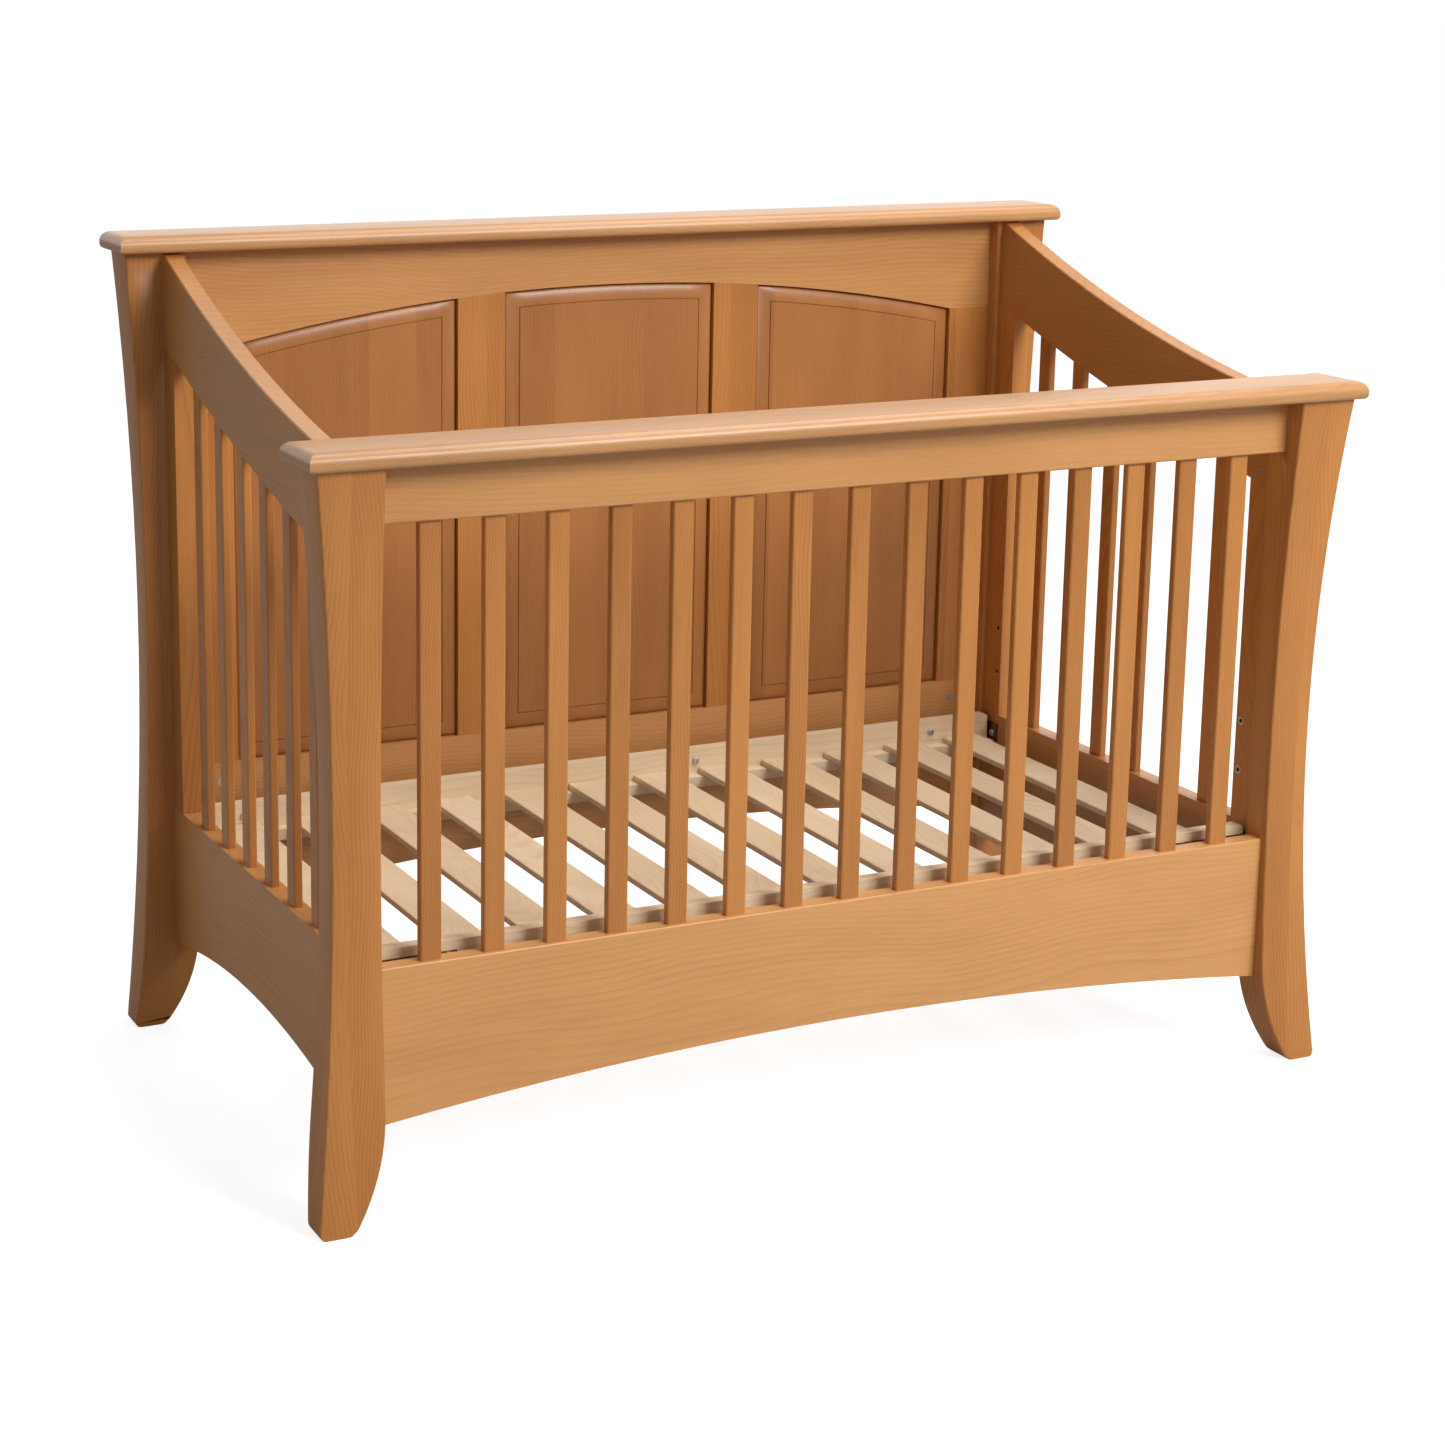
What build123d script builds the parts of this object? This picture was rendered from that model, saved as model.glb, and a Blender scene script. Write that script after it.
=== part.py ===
from build123d import *
import math
import os

# Full-size wooden baby crib: slatted front and ends, high panelled back, bolt-on mattress support.
# Millimetres. X runs along the crib, the low slatted front faces -Y and the panelled back faces +Y,
# +Z is up. The origin is on the floor, at the middle of the crib.

os.makedirs("parts", exist_ok=True)

# ---------------------------------------------------------------- driving dimensions
inside_length = 1330.0       # clear length between the two end panels
post_gap_y = 680.0           # clear distance between front and rear posts
front_height = 943.0         # floor to the underside of the front cap rail
back_height = 1120.0         # floor to the underside of the rear cap rail

# fits
glue_gap = 0.2               # a glued tenon or housing, each side
panel_gap = 1.0              # the raised panels float this far inside their openings
slide_gap = 0.4              # steel bracket to end panel, so that the support can be lifted

# posts: straight inside faces, hollow-curved outside faces that flare at top and toe
post_reveal = 8.0            # how far a post stands inside its end panel
post_width_top = 86.0        # along X
post_depth_top = 70.0        # along Y
front_waist_in = 23.0        # how far the outer face is pulled in at the waist, front posts
rear_waist_in = 18.0
waist_depth_in = 24.0        # the same for the front or back face, along Y
front_waist_height = 528.0   # where the hollow curve is deepest
rear_waist_height = 627.0
toe_out = 6.0                # the toe reaches this far past the top of the post, along X
toe_forward = -2.0           # the same along Y
knee_height = 150.0          # where the inside faces start to sweep out to the toe
toe_sweep_x = 45.0
toe_sweep_y = 25.0
toe_round_inner = 18.0
toe_round_outer = 9.0
post_tenon = 12.0            # stub tenon up into the cap rail
post_tenon_inset = 16.0

# cap rails
cap_thickness = 24.0
cap_width = 105.0
cap_overhang = 12.0          # past the outside faces of the posts
cap_top_round = 13.0
cap_bottom_round = 6.0

# rails of the front and of the ends
rail_thickness = 26.0
rail_edge_ease = 1.5
front_rail_setback = 11.0    # from the posts' inside faces to the back of the front rails
front_top_rail_height = 73.0
front_bottom_rail_top = 324.0
front_arch_end = 123.0       # height of the arched lower edge beside the posts
front_arch_middle = 162.0
rail_tenon_length = 18.0
rail_tenon_thickness = 12.0
tenon_shoulder = 14.0        # shoulder above and below a rail's tenon

# slats of the front and of the ends
slat_width = 28.5
slat_thickness = 12.0
slat_round = 3.0
slat_housing = 12.0          # depth of the housings in the rails
front_slat_count = 15
end_slat_count = 6

# end panels
end_bottom_rail_top = 334.0
end_arch_end = 128.0
end_arch_middle = 166.0
end_top_rail_front_height = 130.0
end_top_rail_middle_height = 118.0
end_top_rail_rear_height = 128.0
end_swoop_y = 40.0           # where the swooping edge is given a middle height
end_swoop_sag = 22.0         # and how far it hangs there below a straight line from front to back
end_stile_width = 43.0
end_stile_tenon = 12.0
end_stile_shoulder = 4.0

# panelled back
back_setback = 22.0          # from the rear posts' inside faces to the back frame's front face
back_thickness = 22.0
back_stile_width = 70.0
back_mullion_width = 74.0
back_bottom_rail_top = 383.0
back_arch_end = 165.0
back_arch_middle = 210.0
back_top_rail_end_height = 136.0       # the arched top rail, over the stiles
back_top_rail_middle_height = 74.0
frame_tenon = 12.0
frame_tenon_thickness = 9.0
groove_depth = 8.0
groove_width = 7.0
groove_setback = 9.0         # from the frame's front face to the groove
panel_tongue = 7.0           # how far the panel's edge reaches into the groove
panel_edge_thickness = 6.0
panel_bevel_width = 23.0
panel_bevel_depth = 5.0
panel_quirk = 1.0            # the small step where the raised field begins
panel_face_setback = 2.0     # the raised field lies this far behind the frame's face

# mattress support
bolt_head_gap = 0.8          # from a cleat's end to the bolt heads that it passes when lifted
bracket_post_gap = 2.0       # from the brackets to the posts' inside faces
cleat_thickness = 18.6
cleat_height = 55.0
cleat_corner_round = 6.0
cleat_below_bolts = 26.0     # from the end panels' bolts down to the cleats' lower face
ledger_depth = 20.0
ledger_height = 16.0
bed_slat_count = 12
bed_slat_width = 60.0
bed_slat_thickness = 9.0
bed_slat_margin = 22.4       # from a cleat's end to the first slat
bed_slat_end_gap = 0.5
bed_slat_round = 2.0

# fittings
hole_heights = (304.0, 405.0, 476.0)   # the three heights at which the support bolts on
support_bolt_inset = 33.0              # from the posts' inside faces to the bolt's axis
bolt_diameter = 6.0
bolt_clearance = 0.25                  # round a bolt's shank, each side
bolt_head_diameter = 11.0
bolt_head_height = 3.6
bolt_head_round = 1.2
hex_across_flats = 4.0
hex_depth = 2.0
support_bolt_length = 16.0
insert_diameter = 9.0
insert_length = 14.0
insert_flange_diameter = 12.0
insert_flange_thickness = 1.2
insert_hole_depth = 15.0
bracket_thickness = 2.4
bracket_height = 28.0
bracket_below_bolt = 12.0
bracket_toe = 9.0                      # past the bolt's axis, towards the middle of the crib
bracket_leg_length = 125.0
bracket_hole_clearance = 0.5           # round a bolt in a bracket's slots, each side
cleat_bolt_near = 69.0                 # from the end panels to the outermost bolts of a cleat; the
cleat_bolt_far = 114.0                 # front cleat is the rear one, turned end for end
cleat_bolt_middle_x = 130.0
cleat_bolt_rise = 36.0                 # from a cleat's lower face to its bolts
cleat_bolt_spare = 1.0                 # thread that stands past the nut
nut_across_flats = 10.0
nut_thickness = 5.0
stud_length = 72.0
stud_in_post = 22.0
stud_hole_spare = 1.0                  # a stud's hole in its rail is this much deeper than the stud
barrel_diameter = 12.0
barrel_setback = 44.0                  # from a rail's end to the barrel nut's axis
barrel_depth = 18.0                    # how far a barrel nut's blind hole goes into its rail
barrel_sink = 0.5
front_low_stud_depth = 76.0            # studs of the bottom rails, below the rails' top edges
back_low_stud_depth = 29.0
front_high_stud_depth = 37.0           # studs of the top rails, below the cap rails
back_high_stud_depth = 58.0

# ---------------------------------------------------------------- derived planes
end_inner_x = inside_length / 2
end_outer_x = end_inner_x + rail_thickness
post_inner_x = end_inner_x - post_reveal
post_outer_x = post_inner_x + post_width_top
post_inner_y = post_gap_y / 2
post_outer_y = post_inner_y + post_depth_top
post_mid_x = post_inner_x + post_width_top / 2
post_mid_y = post_inner_y + post_depth_top / 2
post_tenon_width = post_width_top - 2 * post_tenon_inset
post_tenon_depth = post_depth_top - 2 * post_tenon_inset
front_rail_back_y = -(post_inner_y + front_rail_setback)
front_rail_front_y = front_rail_back_y - rail_thickness
front_rail_mid_y = front_rail_back_y - rail_thickness / 2
back_front_y = post_inner_y + back_setback
back_mid_y = back_front_y + back_thickness / 2
back_rear_y = back_front_y + back_thickness
front_top_rail_bottom = front_height - front_top_rail_height
stile_inner_y = post_inner_y - end_stile_width
end_mid_x = end_inner_x + rail_thickness / 2
support_bolt_y = post_inner_y - support_bolt_inset
cap_length = 2 * (post_outer_x + cap_overhang)
cap_mid_y = post_outer_y + cap_overhang - cap_width / 2
cap_inner_y = post_outer_y + cap_overhang - cap_width
back_top_arch_end = back_height - back_top_rail_end_height
front_stud_heights = (front_bottom_rail_top - front_low_stud_depth, front_height - front_high_stud_depth)
back_stud_heights = (back_bottom_rail_top - back_low_stud_depth, back_height - back_high_stud_depth)

SIDES = {"left": -1, "right": 1}


def save(piece, name):
    """Label a finished piece and write it to its own file."""
    piece.part.label = name
    export_step(piece.part, f"parts/{name}.step")


def arc_height(points, at):
    """Height at a station along the circular arc through three (station, height) points."""
    (x1, y1), (x2, y2), (x3, y3) = points
    d = 2 * (x1 * (y2 - y3) + x2 * (y3 - y1) + x3 * (y1 - y2))
    s1, s2, s3 = x1**2 + y1**2, x2**2 + y2**2, x3**2 + y3**2
    cx = (s1 * (y2 - y3) + s2 * (y3 - y1) + s3 * (y1 - y2)) / d
    cy = (s1 * (x3 - x2) + s2 * (x1 - x3) + s3 * (x2 - x1)) / d
    radius = math.hypot(x1 - cx, y1 - cy)
    rise = math.sqrt(radius**2 - (at - cx) ** 2)
    return cy + rise if y2 > cy else cy - rise


def front_plane(y):
    """Sketch plane at depth y that faces the front; a negative extrusion goes towards the back."""
    return Plane.XZ.offset(-y)


# the curves that several pieces share, as (station, height) points
swoop_share = (end_swoop_y + cap_inner_y) / (post_inner_y + cap_inner_y)
end_swoop_height = front_height + (back_height - front_height) * swoop_share - end_swoop_sag
END_TOP_EDGE = (
    (-cap_inner_y, front_height),
    (end_swoop_y, end_swoop_height),
    (post_inner_y, back_height),
)
END_LOW_EDGE = (
    (-post_inner_y, front_height - end_top_rail_front_height),
    (end_swoop_y, end_swoop_height - end_top_rail_middle_height),
    (post_inner_y, back_height - end_top_rail_rear_height),
)
back_opening_half = post_inner_x - back_stile_width
BACK_ARCH = (
    (-back_opening_half, back_top_arch_end),
    (0, back_height - back_top_rail_middle_height),
    (back_opening_half, back_top_arch_end),
)


# ---------------------------------------------------------------- posts
def end_top_tenon(end):
    """Bottom and top of the end top rail's tenon at the front (-1) or rear (1) post."""
    corner = 0 if end < 0 else -1
    return END_LOW_EDGE[corner][1] + tenon_shoulder, END_TOP_EDGE[corner][1] - tenon_shoulder


def end_bottom_tenon():
    """Bottom and top of the end bottom rail's tenons, clear of the knee of the posts."""
    return knee_height + tenon_shoulder, end_bottom_rail_top - tenon_shoulder


def build_post(side, end):
    """One post: side is -1 left or 1 right, end is -1 front or 1 rear."""
    top = front_height if end < 0 else back_height
    waist_in = front_waist_in if end < 0 else rear_waist_in
    waist_z = front_waist_height if end < 0 else rear_waist_height
    toe_x = post_outer_x + toe_out
    toe_y = post_outer_y + toe_forward
    with BuildPart() as post:
        with BuildSketch(Plane.XZ) as elevation:
            with BuildLine():
                Line((side * post_inner_x, top), (side * post_inner_x, knee_height))
                TangentArc(
                    (side * post_inner_x, knee_height),
                    (side * (post_inner_x + toe_sweep_x), 0),
                    tangent=(0, -1),
                )
                Line((side * (post_inner_x + toe_sweep_x), 0), (side * toe_x, 0))
                ThreePointArc(
                    (side * toe_x, 0),
                    (side * (post_outer_x - waist_in), waist_z),
                    (side * post_outer_x, top),
                )
                Line((side * post_outer_x, top), (side * post_inner_x, top))
            make_face()
            toe_corners = elevation.vertices().group_by(Axis.Y)[0].sort_by(Axis.X)
            fillet(toe_corners[0 if side > 0 else -1], radius=toe_round_inner)
            toe_corners = elevation.vertices().group_by(Axis.Y)[0].sort_by(Axis.X)
            fillet(toe_corners[-1 if side > 0 else 0], radius=toe_round_outer)
        extrude(amount=2 * post_outer_y, both=True)
        with BuildSketch(Plane.YZ) as profile:
            with BuildLine():
                Line((end * post_inner_y, top), (end * post_inner_y, knee_height))
                TangentArc(
                    (end * post_inner_y, knee_height),
                    (end * (post_inner_y + toe_sweep_y), 0),
                    tangent=(0, -1),
                )
                Line((end * (post_inner_y + toe_sweep_y), 0), (end * toe_y, 0))
                ThreePointArc(
                    (end * toe_y, 0),
                    (end * (post_outer_y - waist_depth_in), waist_z),
                    (end * post_outer_y, top),
                )
                Line((end * post_outer_y, top), (end * post_inner_y, top))
            make_face()
        extrude(amount=2 * toe_x, both=True, mode=Mode.INTERSECT)
        # stub tenon into the cap rail
        with BuildSketch(Plane.XY.offset(top)):
            with Locations((side * post_mid_x, end * post_mid_y)):
                Rectangle(post_tenon_width, post_tenon_depth)
        extrude(amount=post_tenon)
        # mortises for the tenons of the end rails
        for low, high in (end_top_tenon(end), end_bottom_tenon()):
            with BuildSketch(Plane.XZ.offset(-end * post_inner_y)):
                with Locations((side * end_mid_x, (low + high) / 2)):
                    Rectangle(rail_tenon_thickness + 2 * glue_gap, high - low + 2 * glue_gap)
            extrude(amount=-end * rail_tenon_length, mode=Mode.SUBTRACT)
        # holes for the studs that hold the front or the back
        mid_y = front_rail_mid_y if end < 0 else back_mid_y
        heights = front_stud_heights if end < 0 else back_stud_heights
        for height in heights:
            with BuildSketch(Plane.YZ.offset(side * post_inner_x)):
                with Locations((mid_y, height)):
                    Circle(bolt_diameter / 2 + bolt_clearance)
            extrude(amount=side * stud_in_post, mode=Mode.SUBTRACT)
    return post


for side_name, side in SIDES.items():
    save(build_post(side, -1), f"post_front_{side_name}")
    save(build_post(side, 1), f"post_rear_{side_name}")


# ---------------------------------------------------------------- cap rails
def build_cap(end):
    """A cap rail with its moulded edge, seated on the stub tenons of two posts."""
    bottom = front_height if end < 0 else back_height
    with BuildPart() as cap:
        with BuildSketch(Plane.XY.offset(bottom)):
            with Locations((0, end * cap_mid_y)):
                Rectangle(cap_length, cap_width)
        extrude(amount=cap_thickness)
        fillet(cap.faces().sort_by(Axis.Z)[-1].edges(), radius=cap_top_round)
        fillet(cap.faces().sort_by(Axis.Z)[0].edges(), radius=cap_bottom_round)
        with BuildSketch(Plane.XY.offset(bottom)):
            with Locations((0, end * post_mid_y)):
                with GridLocations(2 * post_mid_x, 0, 2, 1):
                    Rectangle(post_tenon_width + 2 * glue_gap, post_tenon_depth + 2 * glue_gap)
        extrude(amount=post_tenon, mode=Mode.SUBTRACT)
    return cap


save(build_cap(-1), "front_cap_rail")
save(build_cap(1), "rear_cap_rail")

# ---------------------------------------------------------------- slatted front
front_clear = 2 * post_inner_x
front_slat_gap = (front_clear - front_slat_count * slat_width) / (front_slat_count + 1)
front_slat_pitch = slat_width + front_slat_gap
front_slat_bottom = front_bottom_rail_top - slat_housing
front_slat_top = front_top_rail_bottom + slat_housing


def front_housings(face_z):
    """The row of slat housings, drawn on a front rail's face at face_z."""
    with BuildSketch(Plane.XY.offset(face_z)) as housings:
        with Locations((0, front_rail_mid_y)):
            with GridLocations(front_slat_pitch, 0, front_slat_count, 1):
                RectangleRounded(
                    slat_width + 2 * glue_gap, slat_thickness + 2 * glue_gap, slat_round + glue_gap
                )
    return housings.sketch


def rail_bores(face_y, mid_y, towards, heights):
    """What is bored out of a rail: its ends for the studs, one face for the barrel nuts."""
    with BuildPart() as bores:
        for side in (-1, 1):
            for height in heights:
                with BuildSketch(Plane.YZ.offset(side * post_inner_x)):
                    with Locations((mid_y, height)):
                        Circle(bolt_diameter / 2 + bolt_clearance)
                extrude(amount=-side * (stud_length - stud_in_post + stud_hole_spare))
                with BuildSketch(Plane.XZ.offset(-face_y)):
                    with Locations((side * (post_inner_x - barrel_setback), height)):
                        Circle(barrel_diameter / 2 + glue_gap)
                extrude(amount=-towards * barrel_depth)
    return bores.part


with BuildPart() as front_top_rail:
    with BuildSketch(front_plane(front_rail_front_y)):
        with Locations((0, (front_top_rail_bottom + front_height) / 2)):
            Rectangle(front_clear, front_top_rail_height)
    extrude(amount=-rail_thickness)
    chamfer(front_top_rail.faces().sort_by(Axis.Z)[0].edges().filter_by(Axis.X), length=rail_edge_ease)
    extrude(front_housings(front_top_rail_bottom), amount=slat_housing, mode=Mode.SUBTRACT)
    add(rail_bores(front_rail_back_y, front_rail_mid_y, -1, front_stud_heights[1:]), mode=Mode.SUBTRACT)
save(front_top_rail, "front_top_rail")

with BuildPart() as front_bottom_rail:
    with BuildSketch(front_plane(front_rail_front_y)):
        with BuildLine():
            Polyline(
                (-post_inner_x, front_arch_end),
                (-post_inner_x, front_bottom_rail_top),
                (post_inner_x, front_bottom_rail_top),
                (post_inner_x, front_arch_end),
            )
            ThreePointArc(
                (-post_inner_x, front_arch_end), (0, front_arch_middle), (post_inner_x, front_arch_end)
            )
        make_face()
    extrude(amount=-rail_thickness)
    chamfer(front_bottom_rail.faces().sort_by(Axis.Z)[-1].edges().filter_by(Axis.X), length=rail_edge_ease)
    extrude(front_housings(front_bottom_rail_top), amount=-slat_housing, mode=Mode.SUBTRACT)
    add(rail_bores(front_rail_back_y, front_rail_mid_y, -1, front_stud_heights[:1]), mode=Mode.SUBTRACT)
save(front_bottom_rail, "front_bottom_rail")

for index in range(front_slat_count):
    slat_x = (index - (front_slat_count - 1) / 2) * front_slat_pitch
    with BuildPart() as front_slat:
        with BuildSketch(Plane.XY.offset(front_slat_bottom)):
            with Locations((slat_x, front_rail_mid_y)):
                RectangleRounded(slat_width, slat_thickness, slat_round)
        extrude(amount=front_slat_top - front_slat_bottom)
    save(front_slat, f"front_slat_{index + 1:02d}")

# ---------------------------------------------------------------- end panels
end_slat_gap = (2 * stile_inner_y - end_slat_count * slat_width) / (end_slat_count + 1)
end_slat_pitch = slat_width + end_slat_gap
END_SLAT_Y = [(index - (end_slat_count - 1) / 2) * end_slat_pitch for index in range(end_slat_count)]


def swoop_span(y_from, y_to):
    """Lowest and highest point of the swooping rail's lower edge between two places."""
    heights = [arc_height(END_LOW_EDGE, y) for y in (y_from, y_to)]
    return min(heights), max(heights)


def end_slat_span(y):
    """For the end slat at y: where its housing opens in the swooping rail, and the slat's top."""
    mouth, shoulder = swoop_span(y - slat_width / 2, y + slat_width / 2)
    return mouth - slat_housing, shoulder + slat_housing


def stile_span(y_from, y_to):
    """For a stile: where its mortise opens in the swooping rail, and the top of its tenon."""
    mouth, shoulder = swoop_span(y_from, y_to)
    return mouth - end_stile_tenon, shoulder + end_stile_tenon


def stile_tenon_span(end):
    """Y range of a stile's tenon, its shoulders taken off."""
    outer = end * (post_inner_y - end_stile_shoulder)
    inner = end * (stile_inner_y + end_stile_shoulder)
    return min(outer, inner), max(outer, inner)


def insert_holes(side, heights):
    """Stepped holes for the threaded inserts in one end panel, front and rear."""
    with BuildPart() as holes:
        for end in (-1, 1):
            for height in heights:
                for diameter, depth in (
                    (insert_flange_diameter, insert_flange_thickness + glue_gap),
                    (insert_diameter, insert_hole_depth),
                ):
                    with BuildSketch(Plane.YZ.offset(side * end_inner_x)):
                        with Locations((end * support_bolt_y, height)):
                            Circle(diameter / 2 + glue_gap)
                    extrude(amount=side * depth)
    return holes.part


def build_end_rail(side, low_edge, high_edge, tenons):
    """An end rail between two curved or straight edges, with a tenon at each end."""
    with BuildPart() as rail:
        with BuildSketch(Plane.YZ.offset(side * end_mid_x)):
            with BuildLine():
                for edge in (low_edge, high_edge):
                    if len(edge) == 3:
                        ThreePointArc(*edge)
                    else:
                        Line(*edge)
                front_corner = (-post_inner_y, high_edge[0][1])
                Line(low_edge[0], front_corner)
                if high_edge[0] != front_corner:
                    Line(front_corner, high_edge[0])
                Line(low_edge[-1], high_edge[-1])
            make_face()
        extrude(amount=rail_thickness / 2, both=True)
        long_edges = rail.edges().filter_by(lambda edge: edge.length > post_inner_y).sort_by(Axis.Z)
        free_edges = long_edges[-2:] if high_edge == END_TOP_EDGE else long_edges[:2]
        chamfer(free_edges, length=rail_edge_ease)
        for end, (low, high) in zip((-1, 1), tenons):
            with BuildSketch(Plane.XZ.offset(-end * post_inner_y)):
                with Locations((side * end_mid_x, (low + high) / 2)):
                    Rectangle(rail_tenon_thickness, high - low)
            extrude(amount=-end * (rail_tenon_length - glue_gap))
    return rail


def end_slat_section(y, gap):
    """Cross-section of an end slat at y, grown by gap for its housing."""
    with Locations((0, y)):
        RectangleRounded(slat_thickness + 2 * gap, slat_width + 2 * gap, slat_round + gap)


for side_name, side in SIDES.items():
    slat_plane = Plane((side * end_mid_x, 0, 0))
    stile_spans = [(-1, -post_inner_y, -stile_inner_y), (1, stile_inner_y, post_inner_y)]

    with BuildPart() as end_top_rail:
        add(build_end_rail(side, END_LOW_EDGE, END_TOP_EDGE, (end_top_tenon(-1), end_top_tenon(1))).part)
        for y in END_SLAT_Y:
            mouth, slat_top = end_slat_span(y)
            with BuildSketch(slat_plane.offset(mouth)):
                end_slat_section(y, glue_gap)
            extrude(amount=slat_top - mouth, mode=Mode.SUBTRACT)
        for end, y_from, y_to in stile_spans:
            low, high = stile_tenon_span(end)
            mouth, tenon_top = stile_span(y_from, y_to)
            with BuildSketch(slat_plane.offset(mouth)):
                with Locations((0, (low + high) / 2)):
                    Rectangle(frame_tenon_thickness + 2 * glue_gap, high - low + 2 * glue_gap)
            extrude(amount=tenon_top - mouth, mode=Mode.SUBTRACT)
    save(end_top_rail, f"{side_name}_end_top_rail")

    bottom_edges = (
        ((-post_inner_y, end_arch_end), (0, end_arch_middle), (post_inner_y, end_arch_end)),
        ((-post_inner_y, end_bottom_rail_top), (post_inner_y, end_bottom_rail_top)),
    )
    with BuildPart() as end_bottom_rail:
        add(build_end_rail(side, *bottom_edges, (end_bottom_tenon(), end_bottom_tenon())).part)
        for y in END_SLAT_Y:
            with BuildSketch(slat_plane.offset(end_bottom_rail_top - slat_housing)):
                end_slat_section(y, glue_gap)
            extrude(amount=slat_housing, mode=Mode.SUBTRACT)
        for end, y_from, y_to in stile_spans:
            low, high = stile_tenon_span(end)
            with BuildSketch(slat_plane.offset(end_bottom_rail_top - end_stile_tenon)):
                with Locations((0, (low + high) / 2)):
                    Rectangle(frame_tenon_thickness + 2 * glue_gap, high - low + 2 * glue_gap)
            extrude(amount=end_stile_tenon, mode=Mode.SUBTRACT)
        add(insert_holes(side, hole_heights[:1]), mode=Mode.SUBTRACT)
    save(end_bottom_rail, f"{side_name}_end_bottom_rail")

    for end, y_from, y_to in stile_spans:
        low, high = stile_tenon_span(end)
        low_edge = [(y_from, end_bottom_rail_top), (y_to, end_bottom_rail_top)]
        with BuildPart() as end_stile:
            with BuildSketch(Plane.YZ.offset(side * end_mid_x)):
                with BuildLine():
                    Polyline(
                        (y_from, arc_height(END_LOW_EDGE, y_from)),
                        *low_edge,
                        (y_to, arc_height(END_LOW_EDGE, y_to)),
                    )
                    ThreePointArc(
                        (y_to, arc_height(END_LOW_EDGE, y_to)),
                        ((y_from + y_to) / 2, arc_height(END_LOW_EDGE, (y_from + y_to) / 2)),
                        (y_from, arc_height(END_LOW_EDGE, y_from)),
                    )
                make_face()
            extrude(amount=rail_thickness / 2, both=True)
            with BuildSketch(slat_plane.offset(end_bottom_rail_top - end_stile_tenon)):
                with Locations((0, (low + high) / 2)):
                    Rectangle(frame_tenon_thickness, high - low)
            tenon_top = stile_span(y_from, y_to)[1]
            extrude(amount=tenon_top - end_bottom_rail_top + end_stile_tenon)
            add(insert_holes(side, hole_heights[1:]), mode=Mode.SUBTRACT)
        save(end_stile, f"{side_name}_end_{'front' if end < 0 else 'rear'}_stile")

    for index, y in enumerate(END_SLAT_Y):
        with BuildPart() as end_slat:
            with BuildSketch(slat_plane.offset(end_bottom_rail_top - slat_housing)):
                end_slat_section(y, 0)
            slat_top = end_slat_span(y)[1]
            extrude(amount=slat_top - end_bottom_rail_top + slat_housing)
        save(end_slat, f"{side_name}_end_slat_{index + 1}")

# ---------------------------------------------------------------- panelled back
opening_width = (2 * back_opening_half - 2 * back_mullion_width) / 3
OPENINGS = {
    "left": (-back_opening_half, -back_opening_half + opening_width),
    "centre": (-opening_width / 2, opening_width / 2),
    "right": (back_opening_half - opening_width, back_opening_half),
}


def panel_outline(y, x_from, x_to, grow):
    """One panel opening drawn at depth y, grown outwards by grow; its top follows the arch."""
    x_from, x_to = x_from - grow, x_to + grow
    low = back_bottom_rail_top - grow
    x_mid = (x_from + x_to) / 2
    tops = [arc_height(BACK_ARCH, x) + grow for x in (x_from, x_mid, x_to)]
    with BuildSketch(front_plane(y)) as outline:
        with BuildLine():
            Polyline((x_from, tops[0]), (x_from, low), (x_to, low), (x_to, tops[2]))
            ThreePointArc((x_to, tops[2]), (x_mid, tops[1]), (x_from, tops[0]))
        make_face()
    return outline.sketch


def panel_grooves():
    """What the panel grooves take out of the back frame, round all three openings."""
    with BuildPart() as grooves:
        for x_from, x_to in OPENINGS.values():
            outline = panel_outline(back_front_y + groove_setback, x_from, x_to, groove_depth)
            extrude(outline, amount=-groove_width)
    return grooves.part


def frame_tenon_block(x_from, x_to, z_from, z_to, gap):
    """Tenon of an upright of the back frame, kept clear of the grooves; with a gap, its mortise."""
    with BuildPart() as block:
        with BuildSketch(front_plane(back_mid_y)):
            with Locations(((x_from + x_to) / 2, (z_from + z_to) / 2)):
                Rectangle(x_to - x_from - 2 * (groove_depth + glue_gap - gap), z_to - z_from)
        extrude(amount=frame_tenon_thickness / 2 + gap, both=True)
    return block.part


MEMBERS = {
    "left_stile": (-post_inner_x, -back_opening_half),
    "left_mullion": (OPENINGS["left"][1], OPENINGS["centre"][0]),
    "right_mullion": (OPENINGS["centre"][1], OPENINGS["right"][0]),
    "right_stile": (back_opening_half, post_inner_x),
}


def member_top(x_from, x_to):
    """Height of the top rail's lower edge over an upright, at its lower side."""
    inside = [max(-back_opening_half, min(back_opening_half, x)) for x in (x_from, x_to)]
    return [arc_height(BACK_ARCH, x) for x in inside]


with BuildPart() as back_top_rail:
    with BuildSketch(front_plane(back_front_y)):
        with BuildLine():
            Polyline(
                BACK_ARCH[0],
                (-post_inner_x, back_top_arch_end),
                (-post_inner_x, back_height),
                (post_inner_x, back_height),
                (post_inner_x, back_top_arch_end),
                BACK_ARCH[2],
            )
            ThreePointArc(*BACK_ARCH)
        make_face()
    extrude(amount=-back_thickness)
    add(panel_grooves(), mode=Mode.SUBTRACT)
    for x_from, x_to in MEMBERS.values():
        tops = member_top(x_from, x_to)
        mortise = frame_tenon_block(x_from, x_to, min(tops) - frame_tenon, max(tops) + frame_tenon, glue_gap)
        add(mortise, mode=Mode.SUBTRACT)
    add(rail_bores(back_rear_y, back_mid_y, -1, back_stud_heights[1:]), mode=Mode.SUBTRACT)
save(back_top_rail, "back_top_rail")

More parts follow.
